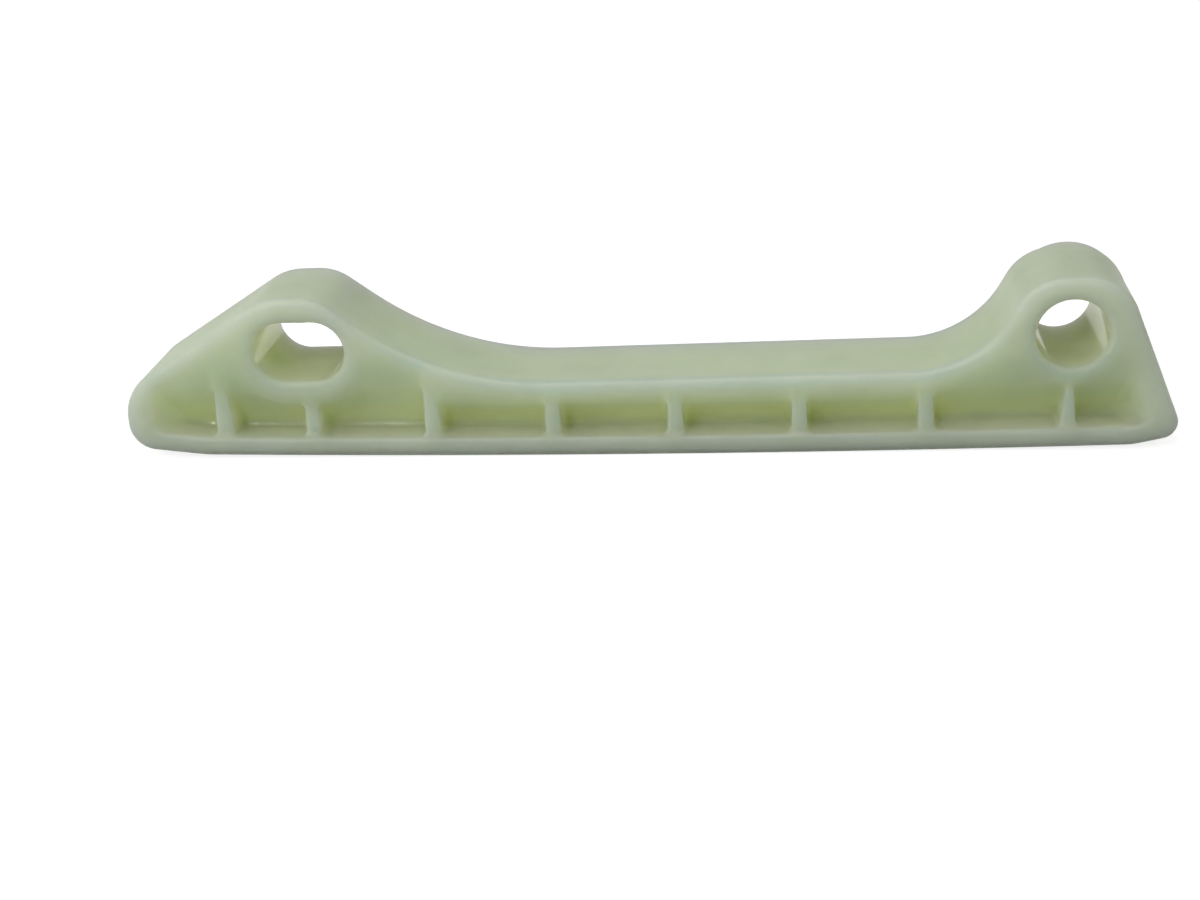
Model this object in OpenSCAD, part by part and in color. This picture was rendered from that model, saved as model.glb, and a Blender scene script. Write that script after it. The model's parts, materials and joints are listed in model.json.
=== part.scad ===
// Timing chain guide: a one-piece moulded rail with a round locating bore at one end, a slotted hole
// at the other, and ribbed pockets with sloping backs in both sides of a central web.
// The rail runs along X, the bore axis along Y, and the chain slides along the underside.
// Heights in the sizes below are measured up from the lowest line of the running face.

/* [Rail] */
// Width of the rail across the running face
rail_w = 13.4; // [10:0.1:20]
// Height of the rail's back beside the slotted boss
rail_h = 8.75; // [8:0.05:10.5]
// Rise of the rail's back towards the bore, in degrees
back_rise = 0.8; // [0:0.1:1.2]
// Radius of the bow along the running face
bow_r = 2800; // [2000:100:6000]
// Length of the lead-in at the slotted end
tip_lead = 9.2; // [7:0.1:11]
// Length of the lead-in at the bore end
toe_lead = 5.6; // [5:0.1:9]
// Rise of the slotted end's lead-in
tip_rise = 1.1; // [0.7:0.1:1.4]
// Rise of the bore end's lead-in
toe_rise = 1.2; // [0.8:0.1:2]

/* [Bore boss] */
// Diameter of the locating bore
bore_d = 8; // [6:0.1:9]
// Height of the bore axis
bore_h = 13.85; // [13:0.05:16]
// Height of the boss's crown above the bore axis
boss_rise = 6.5; // [6.4:0.05:7.2]
// Radius of the boss's shoulders
boss_r = 6; // [4.5:0.1:6.4]
// Distance from the bore axis to the inner flank, at the axis's height
flank_set = 7.95; // [7.6:0.05:9]
// Steepness of the boss's inner flank, in degrees
flank_angle = 61.4; // [56:0.2:66]
// Steepness of the boss's outer flank, in degrees
toe_angle = 68.7; // [66:0.1:72]
// Reach of the toe from the bore axis
toe_reach = 12.75; // [12.5:0.05:15]
// Fillet radius between the inner flank and the rail's back
flank_fillet = 12.5; // [8:0.5:13.5]
// Radius of the hub that the boss carries on the rear face
hub_r = 6.6; // [6:0.1:6.6]
// Offset of the hub from the bore axis towards the toe
hub_shift = 0.9; // [0:0.05:1]
// Drop of the hub's centre below the bore axis
hub_drop = 0.2; // [0.2:0.05:0.6]
// Height of the hub
hub_h = 2.1; // [1:0.1:5]

/* [Slotted boss] */
// Distance from the bore axis to the slot's centre
hole_spacing = 88; // [80:0.5:110]
// Drop of the slot's centre below the bore axis
slot_drop = 0.55; // [0:0.05:1]
// Length of the slot from end to end
slot_l = 10.8; // [9:0.1:12]
// Height of the slot
slot_h = 7.2; // [6:0.1:7.6]
// Height of the boss's crown above the slot's centre, at the ridge
ridge_rise = 6.5; // [6.2:0.1:7]
// Distance from the slot's centre to the ridge
ridge_shift = 2.25; // [1.8:0.05:3.4]
// Length of the boss's crown, from the ridge to the shoulder
crown_l = 6.1; // [5.2:0.1:8]
// Fall of the crown towards the tip, in degrees
crown_fall = 0.5; // [0:0.5:6]
// Steepness of the boss's inner slope, in degrees
slope_angle = 37; // [32:0.5:40]
// Fillet radius between the inner slope and the rail's back
slope_fillet = 37; // [20:1:40]
// Reach of the tip from the slot's centre
tip_reach = 21.8; // [20:0.1:25]
// Height of the tip's upper corner
tip_h = 8.7; // [8.4:0.1:9.2]

/* [Walls] */
// Thickness of the central web at its foot
web_t = 1.6; // [1.2:0.1:2.4]
// Height of the web's upright foot, below the slopes that lead out to the side faces
foot_h = 1; // [0.8:0.1:1.5]
// Depth of the plain band along the rail's back, above the slopes
back_t = 1.5; // [1.3:0.1:2]
// Thickness of the flange that carries the running face
flange_t = 2.3; // [1.8:0.1:3]
// Thickness of the walls at the tip and the toe
end_t = 2.2; // [1.6:0.1:2.8]
// Height of the slopes' upper ends beside the slot
slot_slope_h = 9.6; // [8.5:0.1:9.8]
// Wall around the slot
slot_wall = 2.1; // [1.6:0.1:2.3]
// Fillet radius in the corners of the pockets
pocket_r = 1; // [0.4:0.1:1.2]

/* [Ribs] */
// Thickness of the spaced ribs at their foot
rib_t = 2; // [1.5:0.1:2.4]
// Thickness of the ribs in the tip and below the bore, at their foot
end_rib_t = 2.5; // [2.2:0.1:3]
// Draft of the spaced ribs towards the back, in degrees
rib_draft = 1.5; // [0.5:0.1:2]
// Draft of the tip's rib, in degrees
tip_rib_draft = 3.2; // [1:0.1:3.5]
// Draft of the rib below the bore, in degrees
bore_rib_draft = 6.5; // [1:0.1:7]
// Depth of the ribs' edges below the side faces
rib_set = 0.8; // [0.6:0.1:2.5]
// Spacing of the ribs along the rail
rib_pitch = 14.3; // [12:0.1:18]
// Distance of the first rib from the slot's centre
rib_start = 0.6; // [0:0.1:1.5]
// Distance of the tip's rib from the first rib
rib_tip = 10.8; // [9:0.1:12]
// Shortest distance from the last of the spaced ribs to the bore axis
rib_clear = 11; // [9:0.1:14]

/* [Edges] */
// Radius of the rail's corner at the toe
toe_r = 2; // [0.8:0.1:2.4]
// Radius of the tip's upper corner
tip_r = 6.2; // [4:0.1:6.6]
// Radius of the tip's lower corner
tip_foot_r = 3.3; // [1.5:0.1:3.5]
// Radius that blends the toe's lead-in into the running face
toe_blend = 8; // [5:1:12]
// Radius that blends the tip's lead-in into the running face
tip_blend = 25; // [10:1:40]
// Radius of the slotted boss's ridge
ridge_r = 6; // [3:0.5:7]
// Radius of the slotted boss's shoulder
shoulder_r = 7.2; // [5:0.2:8.6]
// Width of the break around the rims of both holes
rim = 0.5; // [0.2:0.1:0.8]
// Radius of the outer edges along both side faces
edge_r = 0.8; // [0.3:0.1:1]

/* [Hidden] */

$fn = 64;
// Largest turn between two points on a rounded corner
turn_step = 6;
// Overrun of cuts beyond the faces that they open
over = 1;
// Shares of a rim's width at the two inner corners of its broken edge
rim_ease = 0.13;
rim_knee = 0.5;
// Turn between two rings of points on a rounded outer edge
edge_step = 30;
// Depth of the skin that carries the rounded edges, and its overlap with the core
skin_t = 1.2;
skin_lap = 0.1;
// Share of a rib's foot that its narrowed half keeps at the least
rib_least = 0.04;

slot_x = -hole_spacing;
slot_z = bore_h - slot_drop;
tip_x = slot_x - tip_reach;
slot_half = (slot_l - slot_h) / 2;

// The slopes run from the top of the web's foot out to the side faces, below the plain band
slope_foot = flange_t + foot_h;
slope_top = rail_h - back_t;
slope_depth = (rail_w - web_t) / 2;

// The running face is an arc that runs out straight into the two lead-ins, with its lowest line at height 0
bow_from = tip_x + tip_lead;
bow_to = toe_reach - toe_lead;
bow_runout = max(tip_blend * tip_rise / tip_lead, toe_blend * toe_rise / toe_lead);
bow_half = (bow_to - bow_from) / 2 - bow_runout;
bow_depth = pow(bow_half, 2) / (2 * bow_r);
bow_sag = bow_depth + bow_runout * bow_half / bow_r;

ridge = [slot_x + ridge_shift, slot_z + ridge_rise];
shoulder = ridge - crown_l * heading(crown_fall);
back_foot = [slot_x + ridge_shift + ridge_rise, rail_h];
toe = [toe_reach, bow_sag + toe_rise];

// Lines along the straight stretches of the bore boss: a point of each and its direction
crown = [0, bore_h + boss_rise];
along_crown = heading(180);
flank_mid = [-flank_set, bore_h];
inner_flank = heading(flank_angle);
outer_flank = heading(180 - toe_angle);

// Corners of the side outline, anticlockwise: [x, height, rounding radius]
corners = [
  [(bow_from + bow_to) / 2, -bow_depth, bow_r],
  [bow_to, bow_sag, toe_blend],
  concat(toe, toe_r),
  concat(meet(toe, outer_flank, crown, along_crown), boss_r),
  concat(meet(crown, along_crown, flank_mid, inner_flank), boss_r),
  concat(meet(flank_mid, inner_flank, back_foot, heading(back_rise)), flank_fillet),
  concat(meet(back_foot, heading(back_rise), ridge, heading(-slope_angle)), slope_fillet),
  concat(ridge, ridge_r),
  concat(shoulder, shoulder_r),
  [tip_x, tip_h, tip_r],
  [tip_x, bow_sag + tip_rise, tip_foot_r],
  [bow_from, bow_sag, tip_blend]
];

// Wall behind the stretch that follows each of the corners
walls = [flange_t, flange_t, end_t, back_t, back_t, back_t, back_t, back_t, back_t, end_t, flange_t, flange_t];

// Ribs stand at an even pitch from below the slot, with one more below the bore and one in the tip
rib_count = floor((hole_spacing - rib_start - rib_clear) / rib_pitch);
rib_first = slot_x + rib_start;
rib_places = [for (i = [0:rib_count]) rib_first + i * rib_pitch];

function unit(v) = v / norm(v);
function heading(a) = [cos(a), sin(a)];
function lefthand(v) = [-v.y, v.x];
function turned(v, a) = [v.x * cos(a) - v.y * sin(a), v.x * sin(a) + v.y * cos(a)];

// Where the line through p along u meets the line through q along v
function meet(p, u, q, v) = p + u * cross(q - p, v) / cross(u, v);

// Point i of a closed list, counted round past either end
function round_item(list, i) = list[(i + len(list)) % len(list)];
function flat(c) = [c.x, c.y];

// Points of a closed outline with every corner rounded to its own radius
function rounded(cs) = [
  for (i = [0:len(cs) - 1])
    let (
      c = flat(cs[i]),
      u = unit(c - flat(round_item(cs, i - 1))),
      v = unit(flat(round_item(cs, i + 1)) - c),
      side = sign(cross(u, v)),
      turn = acos(min(1, u * v)),
      r = cs[i][2],
      centre = c - r * tan(turn / 2) * u + side * r * lefthand(u),
      steps = max(2, ceil(turn / turn_step))
    )
    for (k = [0:steps]) centre - turned(side * r * lefthand(u), side * turn * k / steps)
];

// Corners moved inwards, each stretch by its own distance, with no inner corner tighter than least
function inset(cs, d, least) = [
  for (i = [0:len(cs) - 1])
    let (
      c = flat(cs[i]),
      u = unit(c - flat(round_item(cs, i - 1))),
      v = unit(flat(round_item(cs, i + 1)) - c),
      a = round_item(d, i - 1),
      b = d[i],
      p = c + a * lefthand(u),
      q = c + b * lefthand(v),
      r = cs[i][2] - sign(cross(u, v)) * (a + b) / 2
    )
    concat(meet(p, u, q, v), max(least, r))
];

// Side outline moved inwards by d all round
function inner_outline(d) = rounded(inset(corners, [for (w = walls) d], pocket_r));

// Rings of the skin, each as its inward distance and its place across the rail, from the core round the front
// edge and the rear edge back to the core
edge_turns = [for (a = [0:edge_step:90]) [edge_r * (1 - sin(a)), rail_w / 2 - edge_r * (1 - cos(a))]];
skin_half = concat([[skin_t, rail_w / 2]], edge_turns);
skin_rings = concat([for (q = skin_half) [q.x, -q.y]], [for (i = [1:len(skin_half)]) skin_half[len(skin_half) - i]]);

// Skin of the rail with its outer edges rounded, as a closed loop of rings
module skin() {
  rings = [for (q = skin_rings) [for (p = inner_outline(q.x)) [p.x, q.y, p.y]]];
  n = len(rings[0]);
  m = len(rings);
  polyhedron(
    points = [for (ring = rings) for (p = ring) p],
    faces = [
      for (k = [0:m - 1])
        for (i = [0:n - 1])
          [k * n + i, k * n + (i + 1) % n, ((k + 1) % m) * n + (i + 1) % n, ((k + 1) % m) * n + i]
    ]
  );
}

// Side outline drawn in X and Z, swept from y0 to y1
module across(y0, y1) {
  translate([0, y1, 0])
    rotate([90, 0, 0])
      linear_extrude(y1 - y0)
        children();
}

module at_bore() {
  translate([0, bore_h])
    children();
}

module at_slot() {
  translate([slot_x, slot_z])
    children();
}

// Rounded-end slot of the given radius, with the slotted hole's own end centres
module slot_shape(r) {
  square([2 * slot_half, 2 * r], center = true);
  for (s = [-1, 1])
    translate([s * slot_half, 0])
      circle(r);
}

// Pocket in one side from x0 to x1, between the flange and the slope that leads from the web's foot out to the
// side face at height top, with the wall around the slot left standing
module pocket(x0, x1, top) {
  outside = rail_w / 2 + over;
  gain = (top - slope_foot) / slope_depth;
  intersection() {
    across(web_t / 2, outside)
      difference() {
        polygon(rounded(inset(corners, walls, pocket_r)));
        at_slot()
          slot_shape(slot_h / 2 + slot_wall);
      }
    translate([x0, 0, 0])
      rotate([90, 0, 90])
        linear_extrude(x1 - x0)
          polygon([[0, 0], [outside, 0], [outside, top + over * gain], [0, slope_foot - web_t / 2 * gain]]);
  }
}

// Rib at x up to the given height, which narrows from its foot by its draft
module rib(x, top, foot, draft) {
  narrowed = max(foot / 2 - top * tan(draft), rib_least * foot);
  polygon([[x - foot / 2, 0], [x + foot / 2, 0], [x + narrowed, top], [x - narrowed, top]]);
}

// Ribs that tie the back, the rings and the flange together on both sides of the web
module ribs() {
  across(rib_set - rail_w / 2, rail_w / 2 - rib_set)
    intersection() {
      polygon(rounded(inset(corners, [for (w = walls) w / 2], pocket_r)));
      union() {
        rib(rib_first - rib_tip, ridge.y, end_rib_t, tip_rib_draft);
        rib(0, bore_h - bore_d / 2, end_rib_t, bore_rib_draft);
        for (x = rib_places)
          rib(x, bore_h, rib_t, rib_draft);
      }
    }
}

// Section of a hole of radius r with its rim broken in two flats, from the axis outwards
module hole_section(r) {
  polygon([
    [0, -rim],
    [r, -rim],
    [r + rim * rim_ease, -rim * (1 - rim_knee)],
    [r + rim * rim_knee, -rim * rim_ease],
    [r + rim, 0],
    [r + rim, over],
    [0, over]
  ]);
}

// Rim of a round hole in a face that looks along -Y at depth y
module round_rim(r, y) {
  translate([0, y, 0])
    rotate([90, 0, 0])
      rotate_extrude()
        hole_section(r);
}

module bore_cut() {
  rear = rail_w / 2 + hub_h;
  across(-rail_w / 2 - over, rear + over)
    at_bore()
      circle(d = bore_d);
  translate([0, 0, bore_h]) {
    round_rim(bore_d / 2, -rail_w / 2);
    mirror([0, 1, 0])
      round_rim(bore_d / 2, -rear);
  }
}

module slot_cut() {
  across(-rail_w / 2 - over, rail_w / 2 + over)
    at_slot()
      slot_shape(slot_h / 2);
  for (face = [0, 1])
    translate([slot_x, 0, slot_z])
      mirror([0, face, 0])
        slot_rim();
}

// Rim of the slot in the face at the near side: round at both ends and straight between them
module slot_rim() {
  for (s = [-1, 1])
    translate([s * slot_half, 0, 0])
      round_rim(slot_h / 2, -rail_w / 2);
  for (up = [0, 1])
    mirror([0, 0, up])
      translate([-slot_half, -rail_w / 2, 0])
        rotate([90, 0, 90])
          linear_extrude(2 * slot_half)
            rotate(90)
              hole_section(slot_h / 2);
}

// Hub on the rear face, with a broken outer edge
module hub() {
  rear = rail_w / 2 + hub_h;
  translate([hub_shift, 0, bore_h - hub_drop])
    rotate([-90, 0, 0])
      rotate_extrude()
        polygon([[0, 0], [hub_r, 0], [hub_r, rear - rim], [hub_r - rim, rear], [0, rear]]);
}

module guide_rail() {
  color("#a9b39c")
    translate([0, 0, -bore_h])
      difference() {
        union() {
          skin();
          difference() {
            across(-rail_w / 2, rail_w / 2)
              polygon(inner_outline(skin_t - skin_lap));
            for (s = [0, 1])
              mirror([0, s, 0]) {
                pocket(tip_x, rib_places[1], slot_slope_h);
                pocket(rib_places[1], toe_reach, slope_top);
              }
          }
          ribs();
          hub();
        }
        bore_cut();
        slot_cut();
      }
}

guide_rail();
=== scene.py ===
"""Looks of the timing chain guide: one injection moulding in natural nylon, on a pale studio floor.

The moulding is worked out as a distance field in millimetres, with every edge rounded and every root
filleted as a mould leaves them, and its zero surface becomes the mesh.
"""

import json
import logging
import math
from dataclasses import dataclass, field
from enum import Enum
from typing import Any, ClassVar

import bpy
import numpy as np
from mathutils import Matrix, Vector


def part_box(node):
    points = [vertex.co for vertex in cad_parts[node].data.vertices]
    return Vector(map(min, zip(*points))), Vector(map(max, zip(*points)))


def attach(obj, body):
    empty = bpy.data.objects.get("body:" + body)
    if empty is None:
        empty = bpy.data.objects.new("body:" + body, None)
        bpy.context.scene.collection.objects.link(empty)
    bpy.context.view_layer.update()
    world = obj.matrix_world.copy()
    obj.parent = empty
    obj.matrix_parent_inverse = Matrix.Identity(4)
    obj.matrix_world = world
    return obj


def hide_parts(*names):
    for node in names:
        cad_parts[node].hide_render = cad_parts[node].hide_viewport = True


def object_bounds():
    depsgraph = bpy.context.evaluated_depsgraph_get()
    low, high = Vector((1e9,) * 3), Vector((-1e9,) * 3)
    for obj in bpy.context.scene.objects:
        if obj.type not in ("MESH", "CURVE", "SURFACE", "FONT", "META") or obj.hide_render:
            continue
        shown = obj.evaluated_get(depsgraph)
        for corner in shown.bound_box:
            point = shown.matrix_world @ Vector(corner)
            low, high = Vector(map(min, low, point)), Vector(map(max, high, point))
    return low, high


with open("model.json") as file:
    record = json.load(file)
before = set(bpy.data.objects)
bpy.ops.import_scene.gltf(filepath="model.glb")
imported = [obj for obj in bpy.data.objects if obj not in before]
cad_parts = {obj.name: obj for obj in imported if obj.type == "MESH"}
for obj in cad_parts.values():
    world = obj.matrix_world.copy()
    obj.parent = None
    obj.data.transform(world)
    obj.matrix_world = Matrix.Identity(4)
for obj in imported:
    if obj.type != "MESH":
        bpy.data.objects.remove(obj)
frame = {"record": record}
CAD_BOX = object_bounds()

LOG = logging.getLogger("chain_guide")
MM = 0.001
Array = np.ndarray


class Name(str, Enum):
    """Names that the frame and the record give, and the mesh's own attributes."""

    BODY = "root"
    NODE = "guide_rail"
    SLOT = "natural_nylon"
    BORE = "locating_bore"
    SLOTTED = "slotted_hole"
    SHELTER = "shelter"
    THINNESS = "thinness"


def linear(colour: str) -> tuple[float, float, float, float]:
    """Turns an sRGB hex colour into linear light.

    Args:
        colour: six hex digits, with or without a leading hash.

    Returns:
        Red, green, blue and an alpha of 1.
    """
    digits = colour.lstrip("#")
    parts = [int(digits[i : i + 2], 16) / 255 for i in (0, 2, 4)]
    red, green, blue = (p / 12.92 if p <= 0.04045 else ((p + 0.055) / 1.055) ** 2.4 for p in parts)
    return red, green, blue, 1.0


def add_node(
    tree: bpy.types.NodeTree,
    kind: str,
    settings: dict[Any, Any] | None = None,
    links: dict[Any, bpy.types.NodeSocket] | None = None,
) -> bpy.types.Node:
    """Adds one shader node with its settings and links.

    Args:
        tree: the node tree.
        kind: the node's type.
        settings: properties by name, and input values by input name or number.
        links: the output that feeds each input, by input name or number.

    Returns:
        The new node.
    """
    node = tree.nodes.new(kind)
    for name, value in (settings or {}).items():
        if isinstance(name, int) or name in node.inputs:
            node.inputs[name].default_value = value
        else:
            setattr(node, name, value)
    for name, socket in (links or {}).items():
        tree.links.new(socket, node.inputs[name])
    return node


def rounded_common(a: Array, b: Array, radius: float | Array) -> Array:
    """Common part of two fields, with the outer edge where they cross rounded.

    Args:
        a: one distance field, negative inside.
        b: the other.
        radius: the edge's radius, one for all or one for each place.

    Returns:
        The joint field.
    """
    corner = np.hypot(np.maximum(a + radius, 0), np.maximum(b + radius, 0))
    return np.minimum(np.maximum(a, b), -radius) + corner


def filleted_union(a: Array, b: Array, radius: float) -> Array:
    """Union of two fields, with a fillet of the radius in the corner where they cross."""
    return -rounded_common(-a, -b, radius)


def left_of(v: Array) -> Array:
    """Direction a quarter turn to the left."""
    return np.array([-v[1], v[0]])


def unit(v: Array) -> Array:
    """Direction of a vector."""
    return v / np.linalg.norm(v)


def heading(degrees: float) -> Array:
    """Direction at an angle from +X towards +Z."""
    angle = math.radians(degrees)
    return np.array([math.cos(angle), math.sin(angle)])


def meet(p: Array, u: Array, q: Array, v: Array) -> Array:
    """Point where the line through p along u meets the line through q along v."""
    gap = q - p
    return p + u * (gap[0] * v[1] - gap[1] * v[0]) / (u[0] * v[1] - u[1] * v[0])


@dataclass
class Outline:
    """Closed side outline, anticlockwise, each corner rounded to a radius of its own.

    Attributes:
        corners: rows of x, height and radius.
    """

    corners: Array

    def directions(self, i: int) -> tuple[Array, Array, Array, float]:
        """Finds corner i and the straight stretches beside it.

        Args:
            i: the corner's number.

        Returns:
            The corner's point, the directions into and out of it, and 1 where it turns left or else -1.
        """
        points = self.corners[:, :2]
        before, after = points[i - 1], points[(i + 1) % len(points)]
        u, v = unit(points[i] - before), unit(after - points[i])
        return points[i], u, v, float(np.sign(u[0] * v[1] - u[1] * v[0]))

    def inset(self, walls: Array, least: float) -> "Outline":
        """Moves each stretch inwards by its own wall.

        Args:
            walls: the wall behind the stretch that follows each corner.
            least: smallest radius of an inner corner.

        Returns:
            The inner outline.
        """
        rows = []
        for i, (_, _, radius) in enumerate(self.corners):
            c, u, v, side = self.directions(i)
            point = meet(c + walls[i - 1] * left_of(u), u, c + walls[i] * left_of(v), v)
            inner = radius - side * (walls[i - 1] + walls[i]) / 2
            rows.append([*point, max(least, inner)])
        return Outline(np.array(rows))

    def distance(self, x: Array, z: Array) -> Array:
        """Measures signed distances to the outline.

        Args:
            x: places along the rail.
            z: heights, of a shape that goes with x.

        Returns:
            Distances, negative inside.
        """
        best = np.full(np.broadcast(x, z).shape, np.inf)
        signed = np.zeros_like(best)

        def take(gap: Array, inside: Array) -> None:
            """Keeps the stretch where it is the nearest so far."""
            nearer = gap < best
            best[nearer] = gap[nearer]
            signed[nearer] = np.where(inside, -gap, gap)[nearer]

        starts, ends = [], []
        for i, (_, _, radius) in enumerate(self.corners):
            c, u, v, side = self.directions(i)
            turn = math.acos(min(1.0, float(u @ v)))
            reach = radius * math.tan(turn / 2)
            starts.append(c - reach * u)
            ends.append(c + reach * v)
            centre = starts[-1] + side * radius * left_of(u)
            middle = unit(c - centre)
            dx, dz = x - centre[0], z - centre[1]
            away = np.hypot(dx, dz)
            facing = dx * middle[0] + dz * middle[1] >= away * math.cos(turn / 2)
            take(np.where(facing, np.abs(away - radius), np.inf), (away < radius) == (side > 0))
        for i, start in enumerate(ends):
            run = starts[(i + 1) % len(starts)] - start
            length = float(np.linalg.norm(run))
            along = run / length
            dx, dz = x - start[0], z - start[1]
            spot = np.clip(dx * along[0] + dz * along[1], 0, length)
            gap = np.hypot(dx - spot * along[0], dz - spot * along[1])
            take(gap, along[0] * dz - along[1] * dx > 0)
        return signed


@dataclass
class SurfaceNet:
    """Mesh of a field's zero surface, with one vertex in each cell that the surface crosses.

    Attributes:
        low: lowest corner of the grid.
        high: highest corner of the grid.
        step: width of a cell.
        lift: cells by which a ray starts clear of the surface.
    """

    low: Array
    high: Array
    step: float
    lift: float = 1.5

    def axes(self) -> list[Array]:
        """Grid places along X, Y and Z."""
        return [np.arange(a, b + self.step, self.step) for a, b in zip(self.low, self.high)]

    def vertices(self, values: Array) -> tuple[Array, Array]:
        """Places a vertex at the mean crossing of each crossed cell's edges.

        Args:
            values: the field on the grid.

        Returns:
            The vertices, and each cell's vertex number or -1.
        """
        shape = tuple(n - 1 for n in values.shape)
        total = np.zeros((*shape, 3))
        count = np.zeros(shape)
        corners = [(i, j, k) for i in (0, 1) for j in (0, 1) for k in (0, 1)]
        view = {c: values[tuple(slice(o, o + n) for o, n in zip(c, shape))] for c in corners}
        for a in corners:
            for axis in range(3):
                if a[axis]:
                    continue
                b = tuple(1 if d == axis else a[d] for d in range(3))
                crossed = (view[a] < 0) != (view[b] < 0)
                share = view[a][crossed] / (view[a][crossed] - view[b][crossed])
                spot = np.tile(np.array(a, float), (len(share), 1))
                spot[:, axis] = share
                total[crossed] += spot
                count[crossed] += 1
        cells = count > 0
        number = np.full(shape, -1)
        number[cells] = np.arange(int(cells.sum()))
        base = np.argwhere(cells) + total[cells] / count[cells][:, None]
        return self.low + base * self.step, number

    def faces(self, values: Array, number: Array) -> Array:
        """Joins the four cells around each crossed grid edge.

        Args:
            values: the field on the grid.
            number: each cell's vertex number.

        Returns:
            Rows of four vertex numbers, wound to look outwards.
        """
        rows = []
        for axis in range(3):
            one, two = (axis + 1) % 3, (axis + 2) % 3
            near = np.moveaxis(values, (axis, one, two), (0, 1, 2))
            cell = np.moveaxis(number, (axis, one, two), (0, 1, 2))
            a, b = near[:-1, 1:-1, 1:-1] < 0, near[1:, 1:-1, 1:-1] < 0
            quad = np.stack([cell[:, :-1, :-1], cell[:, 1:, :-1], cell[:, 1:, 1:], cell[:, :-1, 1:]], axis=-1)
            rows.append(quad[a & ~b])
            rows.append(quad[~a & b][:, ::-1])
        return np.concatenate(rows)

    def shelter(self, values: Array, points: Array, normals: Array, rays: int, reaches: Array) -> Array:
        """Finds how far the solid itself shuts out the open space around each point.

        Args:
            values: the field on the grid.
            points: rows of places on the surface.
            normals: their outward directions.
            rays: number of directions over the whole sphere.
            reaches: distances at which each direction is tried.

        Returns:
            Shares from 0, open, to 1, shut in.
        """
        turn = np.arange(rays) * math.pi * (3 - math.sqrt(5))
        rise = 1 - (2 * np.arange(rays) + 1) / rays
        flat = np.sqrt(1 - rise**2)
        shut, total = np.zeros(len(points)), np.zeros(len(points))
        last = np.array(values.shape) - 1
        lifted = (points + self.lift * self.step * normals - self.low) / self.step
        for ray in np.stack([flat * np.cos(turn), flat * np.sin(turn), rise], axis=1):
            hit = np.zeros(len(points), bool)
            for reach in reaches:
                spots = np.clip(np.rint(lifted + ray * reach / self.step).astype(int), 0, last)
                hit |= values[tuple(spots.T)] < 0
            facing = np.maximum(normals @ ray, 0)
            shut += facing * hit
            total += facing
        return shut / total


@dataclass(frozen=True)
class RailSizes:
    """Rail between the two ends, with its heights above the running face's lowest line."""

    height: float = 8.75
    back_rise: float = 0.8
    bow_r: float = 2800.0
    tip_lead: float = 9.2
    toe_lead: float = 5.6
    tip_rise: float = 1.1
    toe_rise: float = 1.2
    toe_r: float = 2.0
    tip_r: float = 6.2
    tip_foot_r: float = 3.3
    toe_blend: float = 8.0
    tip_blend: float = 25.0


@dataclass(frozen=True)
class BoreBoss:
    """Boss around the round bore, and the rise of the pocket's back towards it."""

    shoulder_r: float = 6.0
    flank_set: float = 7.95
    flank_angle: float = 61.4
    toe_angle: float = 68.7
    toe_reach: float = 12.75
    flank_fillet: float = 12.5
    hub_r: float = 6.6
    hub_shift: float = 0.9
    hub_drop: float = 0.2
    wall: float = 1.2
    slope_h: float = 9.6
    slope_start: float = 18.0
    slope_run: float = 8.0


@dataclass(frozen=True)
class SlottedBoss:
    """Boss around the slotted hole, and the top of the pocket's back beside it."""

    slot_l: float = 10.8
    slot_h: float = 7.2
    ridge_rise: float = 6.5
    ridge_shift: float = 2.25
    crown_l: float = 6.1
    crown_fall: float = 0.5
    slope_angle: float = 37.0
    slope_fillet: float = 37.0
    tip_h: float = 8.7
    ridge_r: float = 6.0
    shoulder_r: float = 7.2
    wall: float = 2.1
    slope_h: float = 10.6


@dataclass(frozen=True)
class Walls:
    """Walls around the pockets.

    Each pocket's back slopes from the web's upright foot out to the side face, which it meets a lip's height
    below the rail's back.
    """

    web: float = 3.6
    foot: float = 0.7
    back: float = 0.3
    lip: float = 1.15
    flange: float = 2.3
    end: float = 2.2
    corner_r: float = 1.0


@dataclass(frozen=True)
class Ribs:
    """Ribs across the pockets, each thickest at its foot."""

    foot: float = 2.0
    end_foot: float = 2.5
    draft: float = 1.5
    tip_draft: float = 3.2
    bore_draft: float = 6.5
    least: float = 0.04
    set_in: float = 0.8
    under: float = 0.8
    pitch: float = 14.3
    start: float = 0.6
    tip_gap: float = 10.8
    clear: float = 11.0


@dataclass(frozen=True)
class Edges:
    """Radii that the mould leaves, the draft of its walls, and the lean of the flanks round holes and ends."""

    outer: float = 0.8
    mouth: float = 0.5
    end_mouth: float = 1.8
    crease: float = 0.3
    brow: float = 2.0
    bend: float = 1.5
    floor: float = 0.9
    rim: float = 0.75
    cone: float = 0.8
    rib_edge: float = 0.45
    rib_root: float = 0.7
    draft: float = 0.02


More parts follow.
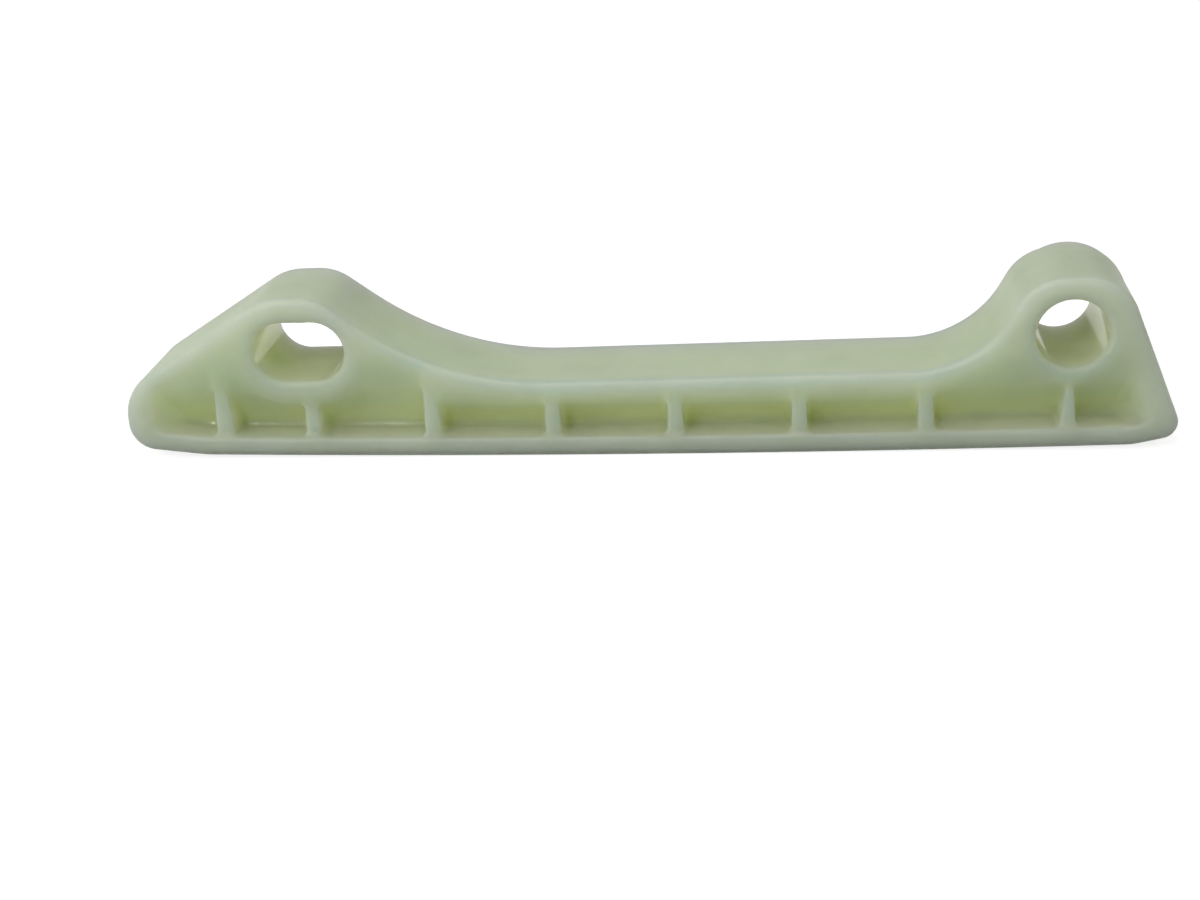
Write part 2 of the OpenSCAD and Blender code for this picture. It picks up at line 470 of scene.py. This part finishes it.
@dataclass
class GuideRail:
    """The moulded guide, in millimetres: x from the bore axis, heights from the running face's lowest line.

    Attributes:
        cell: width of the mesh's grid.
        pulls: times that the vertices are drawn onto the surface.
        least_slope: smallest squared gradient that a pull trusts.
        probe: distance over which the gradient is measured.
        rays: directions tried for shelter and thinness.
        open_reach: first and last distance, and their number, at which shelter is tried.
        thin_reach: the same inside the nylon, for thinness.
        TOE: number of the outline's corner at the toe.
        TIP: number of the outline's corner at the tip.
    """

    rail: RailSizes = RailSizes()
    bore_boss: BoreBoss = BoreBoss()
    slot_boss: SlottedBoss = SlottedBoss()
    walls: Walls = Walls()
    ribs: Ribs = Ribs()
    edges: Edges = Edges()
    cell: float = 0.35
    pulls: int = 3
    least_slope: float = 0.25
    probe: float = 0.02
    rays: int = 40
    open_reach: tuple[float, float, int] = (0.6, 12.0, 10)
    thin_reach: tuple[float, float, int] = (0.4, 1.5, 6)
    TOE: ClassVar[int] = 2
    TIP: ClassVar[int] = 9
    low: Array = field(init=False)
    high: Array = field(init=False)
    width: float = field(init=False)
    bore_h: float = field(init=False)
    bore_r: float = field(init=False)
    slot_x: float = field(init=False)
    slot_z: float = field(init=False)

    def __post_init__(self) -> None:
        """Takes the sizes that the frame holds, and lays out the outlines."""
        self.low, self.high = (np.array(corner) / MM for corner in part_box(Name.NODE.value))
        mounts = {m["name"]: m for m in frame["record"]["mounts"]}
        self.width = -2 * self.low[1]
        self.bore_h = -self.low[2]
        self.bore_r = mounts[Name.BORE.value]["dims"]["r_mm"]
        self.slot_x = mounts[Name.SLOTTED.value]["pos_m"][0] / MM
        self.slot_z = self.bore_h + mounts[Name.SLOTTED.value]["pos_m"][2] / MM
        self.outline = self.side_outline()
        flange, end, back = self.walls.flange, self.walls.end, self.walls.back
        inward = np.array([flange, flange, end, *[back] * 5, end, end, flange, flange])
        self.pocket = self.outline.inset(inward, self.walls.corner_r)

    def side_outline(self) -> Outline:
        """Works out the corners of the side outline.

        Returns:
            The outline, from the bow of the running face round to the tip's lead-in.
        """
        rail, bore, slot = self.rail, self.bore_boss, self.slot_boss
        tip_x = self.low[0]
        bow_from, bow_to = tip_x + rail.tip_lead, bore.toe_reach - rail.toe_lead
        runout = max(
            rail.tip_blend * rail.tip_rise / rail.tip_lead,
            rail.toe_blend * rail.toe_rise / rail.toe_lead,
        )
        half = (bow_to - bow_from) / 2 - runout
        depth = half**2 / (2 * rail.bow_r)
        sag = depth + runout * half / rail.bow_r
        toe = np.array([bore.toe_reach, sag + rail.toe_rise])
        crown, along_crown = np.array([0, self.bore_h + self.high[2]]), heading(180)
        flank, inner_flank = np.array([-bore.flank_set, self.bore_h]), heading(bore.flank_angle)
        ridge = np.array([self.slot_x + slot.ridge_shift, self.slot_z + slot.ridge_rise])
        shoulder = ridge - slot.crown_l * heading(slot.crown_fall)
        foot, along_back = np.array([ridge[0] + slot.ridge_rise, rail.height]), heading(rail.back_rise)
        rows = [
            [(bow_from + bow_to) / 2, -depth, rail.bow_r],
            [bow_to, sag, rail.toe_blend],
            [*toe, rail.toe_r],
            [*meet(toe, heading(180 - bore.toe_angle), crown, along_crown), bore.shoulder_r],
            [*meet(crown, along_crown, flank, inner_flank), bore.shoulder_r],
            [*meet(flank, inner_flank, foot, along_back), bore.flank_fillet],
            [*meet(foot, along_back, ridge, heading(-slot.slope_angle)), slot.slope_fillet],
            [*ridge, slot.ridge_r],
            [*shoulder, slot.shoulder_r],
            [tip_x, slot.tip_h, rail.tip_r],
            [tip_x, sag + rail.tip_rise, rail.tip_foot_r],
            [bow_from, sag, rail.tip_blend],
        ]
        return Outline(np.array(rows))

    def rib_rows(self) -> list[tuple[float, float, float]]:
        """Lists the ribs.

        Returns:
            Each rib's place along the rail, its foot and its draft in degrees, from the tip to the bore.
        """
        ribs = self.ribs
        first = self.slot_x + ribs.start
        count = math.floor((-first - ribs.clear) / ribs.pitch)
        spaced = [(first + i * ribs.pitch, ribs.foot, ribs.draft) for i in range(count + 1)]
        tip = (first - ribs.tip_gap, ribs.end_foot, ribs.tip_draft)
        return [tip, *spaced, (0.0, ribs.end_foot, ribs.bore_draft)]

    def slot_distance(self, x: Array, z: Array, radius: float) -> Array:
        """Distance to a round-ended slot of the given end radius about the slotted hole's own line."""
        half = (self.slot_boss.slot_l - self.slot_boss.slot_h) / 2
        beyond = np.maximum(np.abs(x - self.slot_x) - half, 0)
        return np.hypot(beyond, z - self.slot_z) - radius

    def pocket_field(self, x: Array, y: Array, z: Array) -> Array:
        """Field of the pockets in both sides of the web.

        Args:
            x: places along the rail.
            y: places across it.
            z: heights.

        Returns:
            Distances, negative in the pockets.
        """
        slot, bore, walls, edges = self.slot_boss, self.bore_boss, self.walls, self.edges
        across = np.abs(y)
        face = across - self.width / 2
        sunk = np.maximum(-face, 0)
        rings = np.minimum(
            self.slot_distance(x, z, slot.slot_h / 2 + slot.wall),
            np.hypot(x, z - self.bore_h) - self.bore_r - bore.wall,
        )
        inside = rounded_common(self.pocket.distance(x, z), edges.cone * sunk - rings, edges.brow)
        for corner in (self.TOE, self.TIP):
            c, _, v, _ = self.outline.directions(corner)
            gap = (x - c[0]) * -v[1] + (z - c[1]) * v[0]
            inside = rounded_common(inside, walls.end + edges.cone * sunk - gap, edges.brow)
        up = np.clip((z - walls.flange) / (self.rail.height - walls.flange), 0, 1)
        mouth = edges.mouth + (edges.end_mouth - edges.mouth) * up
        inside = -rounded_common(face, -inside - edges.draft * sunk, mouth)
        beside = np.clip((self.rib_rows()[2][0] - x) / self.ribs.foot + 0.5, 0, 1)
        near = np.clip((x + bore.slope_start) / bore.slope_run, 0, 1)
        low_top = self.rail.height - walls.lip
        top = low_top + (slot.slope_h - low_top) * beside + (bore.slope_h - low_top) * near
        foot = walls.flange + walls.foot
        gain = (top - foot) / ((self.width - walls.web) / 2)
        slope = (z - foot - gain * (across - walls.web / 2)) / np.hypot(1, gain)
        above = rounded_common(face, -slope, edges.brow)
        back = rounded_common(walls.web / 2 - across, -above, edges.bend)
        return rounded_common(inside, back, edges.floor)

    def rib_field(self, x: Array, y: Array, z: Array) -> Array:
        """Field of the ribs, before they are trimmed to the outline.

        Args:
            x: places along the rail.
            y: places across it.
            z: heights.

        Returns:
            Distances, negative in the ribs.
        """
        reach = self.width / 2 - self.ribs.set_in
        sides = []
        for place, foot, draft in self.rib_rows():
            half = np.maximum(foot / 2 - z * math.tan(math.radians(draft)), self.ribs.least * foot)
            sides.append(np.abs(x - place) - half)
        side = np.min(sides, axis=0) - self.edges.draft * (reach - np.abs(y))
        return rounded_common(side, np.abs(y) - reach, self.edges.rib_edge)

    def field(self, x: Array, y: Array, z: Array) -> Array:
        """Field of the whole moulding.

        Args:
            x: places along the rail.
            y: places across it.
            z: heights.

        Returns:
            Distances, negative in the nylon.
        """
        edges, bore = self.edges, self.bore_boss
        side = self.outline.distance(x, z)
        solid = rounded_common(side, np.abs(y) - self.width / 2, edges.outer)
        solid = rounded_common(solid, -self.pocket_field(x, y, z), edges.crease)
        rib = np.maximum(self.rib_field(x, y, z), side + self.ribs.under)
        solid = filleted_union(solid, rib, edges.rib_root)
        hub = np.hypot(x - bore.hub_shift, z - self.bore_h + bore.hub_drop) - bore.hub_r
        hub = np.maximum(rounded_common(hub, y - self.high[1], edges.rim), self.width / 2 - 2 * edges.outer - y)
        solid = filleted_union(solid, hub, edges.mouth)
        hole = np.hypot(x, z - self.bore_h) - self.bore_r
        slot = self.slot_distance(x, z, self.slot_boss.slot_h / 2)
        return rounded_common(solid, -np.minimum(hole, slot), edges.rim)

    def slope(self, points: Array) -> tuple[Array, Array]:
        """Field and its gradient at points.

        Args:
            points: rows of x, y and height.

        Returns:
            The field's values and its gradient's rows.
        """
        near = self.probe
        gradient = np.empty_like(points)
        for axis in range(3):
            ahead, behind = points.copy(), points.copy()
            ahead[:, axis] += near
            behind[:, axis] -= near
            gradient[:, axis] = (self.field(*ahead.T) - self.field(*behind.T)) / (2 * near)
        return self.field(*points.T), gradient

    def build(self) -> bpy.types.Object:
        """Meshes the moulding.

        Returns:
            The guide's object, in metres in the frame.
        """
        margin = 2 * self.cell
        lift = np.array([0, 0, self.bore_h])
        net = SurfaceNet(self.low + lift - margin, self.high + lift + margin, self.cell)
        x, y, z = net.axes()
        values = self.field(x[:, None, None], y[None, :, None], z[None, None, :])
        points, number = net.vertices(values)
        for _ in range(self.pulls):
            value, gradient = self.slope(points)
            points -= value[:, None] * gradient / np.maximum((gradient**2).sum(1), self.least_slope)[:, None]
        _, gradient = self.slope(points)
        normals = gradient / np.linalg.norm(gradient, axis=1)[:, None]
        mesh = bpy.data.meshes.new("guide_moulding")
        mesh.from_pydata((points - lift) * MM, [], net.faces(values, number).tolist())
        mesh.polygons.foreach_set("use_smooth", np.ones(len(mesh.polygons), bool))
        mesh.normals_split_custom_set_from_vertices(normals.tolist())
        # Shelter and thinness of each vertex, which the finish paints into the base colour as painted shade and
        # painted light.
        shut = net.shelter(values, points, normals, self.rays, np.geomspace(*self.open_reach))
        thin = net.shelter(-values, points, -normals, self.rays, np.geomspace(*self.thin_reach))
        for name, shares in ((Name.SHELTER, shut), (Name.THINNESS, thin)):
            mesh.attributes.new(name.value, "FLOAT", "POINT").data.foreach_set("value", shares)
        mesh.update()
        guide = bpy.data.objects.new("guide_moulding", mesh)
        bpy.context.scene.collection.objects.link(guide)
        LOG.info("guide_moulding: %d faces, shelter up to %.2f", len(mesh.polygons), shut.max())
        return guide

    def dress(self, guide: bpy.types.Object, finish: "MouldedNylon") -> None:
        """Gives the guide its finish and ties it to the frame.

        Args:
            guide: the guide's object.
            finish: the nylon.
        """
        guide.data.materials.append(finish.material())
        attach(guide, Name.BODY.value)
        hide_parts(Name.NODE.value)


@dataclass(frozen=True)
class MouldedNylon:
    """Natural nylon PA66, injection moulded in a polished tool.

    The uncoloured polymer is milky and lets light in for several millimetres. On top of that, the base
    colour holds painted light and painted shade: it is painted pale on edges and thin walls and yellow-green
    in sheltered places, from the mesh's thinness and shelter. The melt cools faintly cloudy. The tool is
    polished in the pockets and holes, which show small sharp glints, and duller on the outer faces, which
    keep a soft gloss.

    Attributes:
        pale: painted light, the base colour painted on edges and thin walls.
        painted_shade_colour: painted shade, the yellow-green base colour painted in sheltered places.
        depth_mm: how far light spreads in the nylon.
        spread: share of that depth for red, green and blue.
        painted_shade_less_light: shelter less thinness at which the colour is all pale, painted light,
        and all yellow-green, painted shade.
        cloud_mm: width of the clouds.
        cloud: noise between which the clouds' tone runs.
        cloud_tone: darkest and lightest tone of the clouds.
        skin_mm: width of the skin's ripples.
        skin_depth_mm: their depth.
        sheltered: shelter from which, and up to which, the polish grows.
        polish: strength of the polish outside and in the pockets.
        polish_roughness: its roughness.
        roughness: roughness of the soft gloss.
        specular: strength of the soft gloss.
        ior: refractive index.
    """

    pale: str = "#c3dac2"
    painted_shade_colour: str = "#d9e2b5"
    depth_mm: float = 14.0
    spread: tuple[float, float, float] = (1.0, 1.0, 0.9)
    painted_shade_less_light: tuple[float, float] = (-0.5, 0.55)
    cloud_mm: float = 8.0
    cloud: tuple[float, float] = (0.25, 0.75)
    cloud_tone: tuple[float, float] = (0.94, 1.06)
    skin_mm: float = 0.7
    skin_depth_mm: float = 0.004
    sheltered: tuple[float, float] = (0.05, 0.3)
    polish: tuple[float, float] = (0.05, 0.6)
    polish_roughness: float = 0.04
    roughness: float = 0.45
    specular: float = 0.3
    ior: float = 1.53

    @staticmethod
    def ranges(source: tuple[float, float], target: tuple[float, float] = (0.0, 1.0)) -> dict[str, float]:
        """Settings of a map from one range of values to another."""
        return dict(zip(("From Min", "From Max", "To Min", "To Max"), (*source, *target)))

    def material(self) -> bpy.types.Material:
        """Builds the shader.

        Returns:
            The material.
        """
        material = bpy.data.materials.new("natural_nylon_moulded")
        material.use_nodes = True
        tree = material.node_tree
        tree.nodes.clear()
        place = add_node(tree, "ShaderNodeTexCoord").outputs["Object"]
        shelter = add_node(tree, "ShaderNodeAttribute", {"attribute_name": Name.SHELTER.value})
        thin = add_node(tree, "ShaderNodeAttribute", {"attribute_name": Name.THINNESS.value})
        # Painted light and shade: shelter less thinness mixes the base colour, pale on edges and thin walls as
        # painted light and yellow-green in sheltered places as painted shade.
        painted_shade_less_light = add_node(
            tree,
            "ShaderNodeMath",
            {"operation": "SUBTRACT"},
            {0: shelter.outputs["Fac"], 1: thin.outputs["Fac"]},
        )
        share = add_node(tree, "ShaderNodeMapRange", self.ranges(self.painted_shade_less_light), {"Value": painted_shade_less_light.outputs[0]})
        body = add_node(
            tree,
            "ShaderNodeMix",
            {"data_type": "RGBA", 6: linear(self.pale), 7: linear(self.painted_shade_colour)},
            {0: share.outputs["Result"]},
        )
        cloud = add_node(
            tree, "ShaderNodeTexNoise", {"Scale": 1 / (self.cloud_mm * MM), "Detail": 3.0}, {"Vector": place}
        )
        tone = add_node(
            tree,
            "ShaderNodeMapRange",
            self.ranges(self.cloud, self.cloud_tone),
            {"Value": cloud.outputs["Fac"]},
        )
        clouded = add_node(
            tree, "ShaderNodeHueSaturation", links={"Color": body.outputs[2], "Value": tone.outputs["Result"]}
        )
        skin = add_node(
            tree, "ShaderNodeTexNoise", {"Scale": 1 / (self.skin_mm * MM), "Detail": 2.0}, {"Vector": place}
        )
        bump = add_node(
            tree, "ShaderNodeBump", {"Distance": self.skin_depth_mm * MM}, {"Height": skin.outputs["Fac"]}
        )
        polish = add_node(
            tree,
            "ShaderNodeMapRange",
            self.ranges(self.sheltered, self.polish),
            {"Value": shelter.outputs["Fac"]},
        )
        shader = add_node(
            tree,
            "ShaderNodeBsdfPrincipled",
            {
                "Roughness": self.roughness,
                "IOR": self.ior,
                "Subsurface Weight": 1.0,
                "Subsurface Radius": self.spread,
                "Subsurface Scale": self.depth_mm * MM,
                "Specular IOR Level": self.specular,
                "Coat Roughness": self.polish_roughness,
            },
            {
                "Base Color": clouded.outputs["Color"],
                "Coat Weight": polish.outputs["Result"],
                "Normal": bump.outputs["Normal"],
            },
        )
        add_node(tree, "ShaderNodeOutputMaterial", links={"Surface": shader.outputs["BSDF"]})
        return material


@dataclass(frozen=True)
class Lamp:
    """One rectangular lamp that looks at the guide's middle.

    Attributes:
        name: the lamp's name.
        place: its place in metres.
        size: its width and depth in metres.
        power: its power in watts.
        glints: whether glossy surfaces mirror it.
    """

    name: str
    place: tuple[float, float, float]
    size: tuple[float, float]
    power: float
    glints: bool = True

    def build(self) -> None:
        """Hangs the lamp."""
        light = bpy.data.lights.new(self.name, "AREA")
        light.shape = "RECTANGLE"
        light.size, light.size_y = self.size
        light.energy = self.power
        lamp = bpy.data.objects.new(self.name, light)
        bpy.context.scene.collection.objects.link(lamp)
        lamp.location = self.place
        lamp.visible_glossy = self.glints
        low, high = CAD_BOX
        lamp.rotation_euler = (Vector(self.place) - (low + high) / 2).to_track_quat("Z", "Y").to_euler()


@dataclass(frozen=True)
class Studio:
    """Pale floor, soft light and the camera at the photograph's viewing angle.

    The large boxes give soft light without a mirror image, and the small lamps give the glints.
    """

    floor_half: float = 1.5
    floor_colour: str = "#a8a8a8"
    floor_glow: float = 0.83
    room: float = 0.13
    lens: float = 54.0
    sensor: float = 36.0
    eye_mm: tuple[float, float, float] = (-29.75, -198.63, 67.77)
    elevation: float = 22.68
    yaw: float = -7.0
    roll: float = 3.34
    clip: tuple[float, float] = (0.01, 10.0)
    lamps: tuple[Lamp, ...] = (
        Lamp("softbox", (-0.3, -0.65, 0.5), (1.2, 0.6), 0.8, glints=False),
        Lamp("back_box", (0.08, 0.7, 0.4), (1.2, 0.6), 2.6, glints=False),
        Lamp("left_box", (-0.75, -0.2, 0.3), (0.6, 0.6), 1.5, glints=False),
        Lamp("strip_lamp", (-0.068, -0.03, 0.45), (0.1, 0.02), 0.3),
        Lamp("left_lamp", (-0.206, -0.334, 0.268), (0.085, 0.03), 0.5),
        Lamp("right_lamp", (0.247, -0.214, 0.311), (0.02, 0.02), 0.15),
    )

    def floor(self) -> None:
        """Lays the floor under the running face."""
        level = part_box(Name.NODE.value)[0].z
        half = self.floor_half
        places = [(x, y, level) for x, y in ((-half, -half), (half, -half), (half, half), (-half, half))]
        mesh = bpy.data.meshes.new("floor")
        mesh.from_pydata(places, [], [(0, 1, 2, 3)])
        floor = bpy.data.objects.new("floor", mesh)
        bpy.context.scene.collection.objects.link(floor)
        material = bpy.data.materials.new("white_paper")
        material.use_nodes = True
        tree = material.node_tree
        tree.nodes.clear()
        diffuse = add_node(tree, "ShaderNodeBsdfDiffuse", {"Color": linear(self.floor_colour)})
        rays = add_node(tree, "ShaderNodeLightPath")
        seen = rays.outputs["Is Camera Ray"]
        for kind in ("Is Glossy Ray", "Is Transmission Ray"):
            both = add_node(tree, "ShaderNodeMath", {"operation": "ADD"}, {0: seen, 1: rays.outputs[kind]})
            seen = both.outputs[0]
        glow = add_node(tree, "ShaderNodeEmission", {"Strength": self.floor_glow}, {"Color": seen})
        lit = add_node(tree, "ShaderNodeAddShader", links={0: diffuse.outputs[0], 1: glow.outputs[0]})
        add_node(tree, "ShaderNodeOutputMaterial", links={"Surface": lit.outputs[0]})
        mesh.materials.append(material)

    def world(self) -> None:
        """Sets the even light of the room."""
        world = bpy.data.worlds.new("studio")
        bpy.context.scene.world = world
        world.use_nodes = True
        tree = world.node_tree
        tree.nodes.clear()
        sky = add_node(tree, "ShaderNodeBackground", {"Color": (1, 1, 1, 1), "Strength": self.room})
        add_node(tree, "ShaderNodeOutputWorld", links={"Surface": sky.outputs[0]})

    def camera(self) -> None:
        """Places the camera as the photograph's was."""
        elevation, yaw, roll = (math.radians(a) for a in (self.elevation, self.yaw, self.roll))
        level = Vector((math.sin(yaw), math.cos(yaw), 0))
        ahead = level * math.cos(elevation) - Vector((0, 0, math.sin(elevation)))
        right = Vector((math.cos(yaw), -math.sin(yaw), 0))
        down = ahead.cross(right)
        across = math.cos(roll) * right + math.sin(roll) * down
        along = math.cos(roll) * down - math.sin(roll) * right
        data = bpy.data.cameras.new("camera")
        data.lens, data.sensor_width = self.lens, self.sensor
        data.clip_start, data.clip_end = self.clip
        camera = bpy.data.objects.new("camera", data)
        bpy.context.scene.collection.objects.link(camera)
        turn = Matrix((across, -along, -ahead)).transposed().to_4x4()
        camera.matrix_world = Matrix.Translation(Vector(self.eye_mm) * MM) @ turn
        bpy.context.scene.camera = camera

    def build(self) -> None:
        """Sets up the whole studio."""
        self.floor()
        self.world()
        for lamp in self.lamps:
            lamp.build()
        self.camera()
        bpy.context.scene.view_settings.view_transform = "Standard"
        LOG.info("studio: floor, lamps and camera")


def main() -> None:
    """Builds and dresses the guide, and sets up the studio."""
    logging.basicConfig(level=logging.INFO, format="%(name)s: %(message)s")
    rail = GuideRail()
    rail.dress(rail.build(), MouldedNylon())
    Studio().build()


if __name__ == "__main__":
    main()
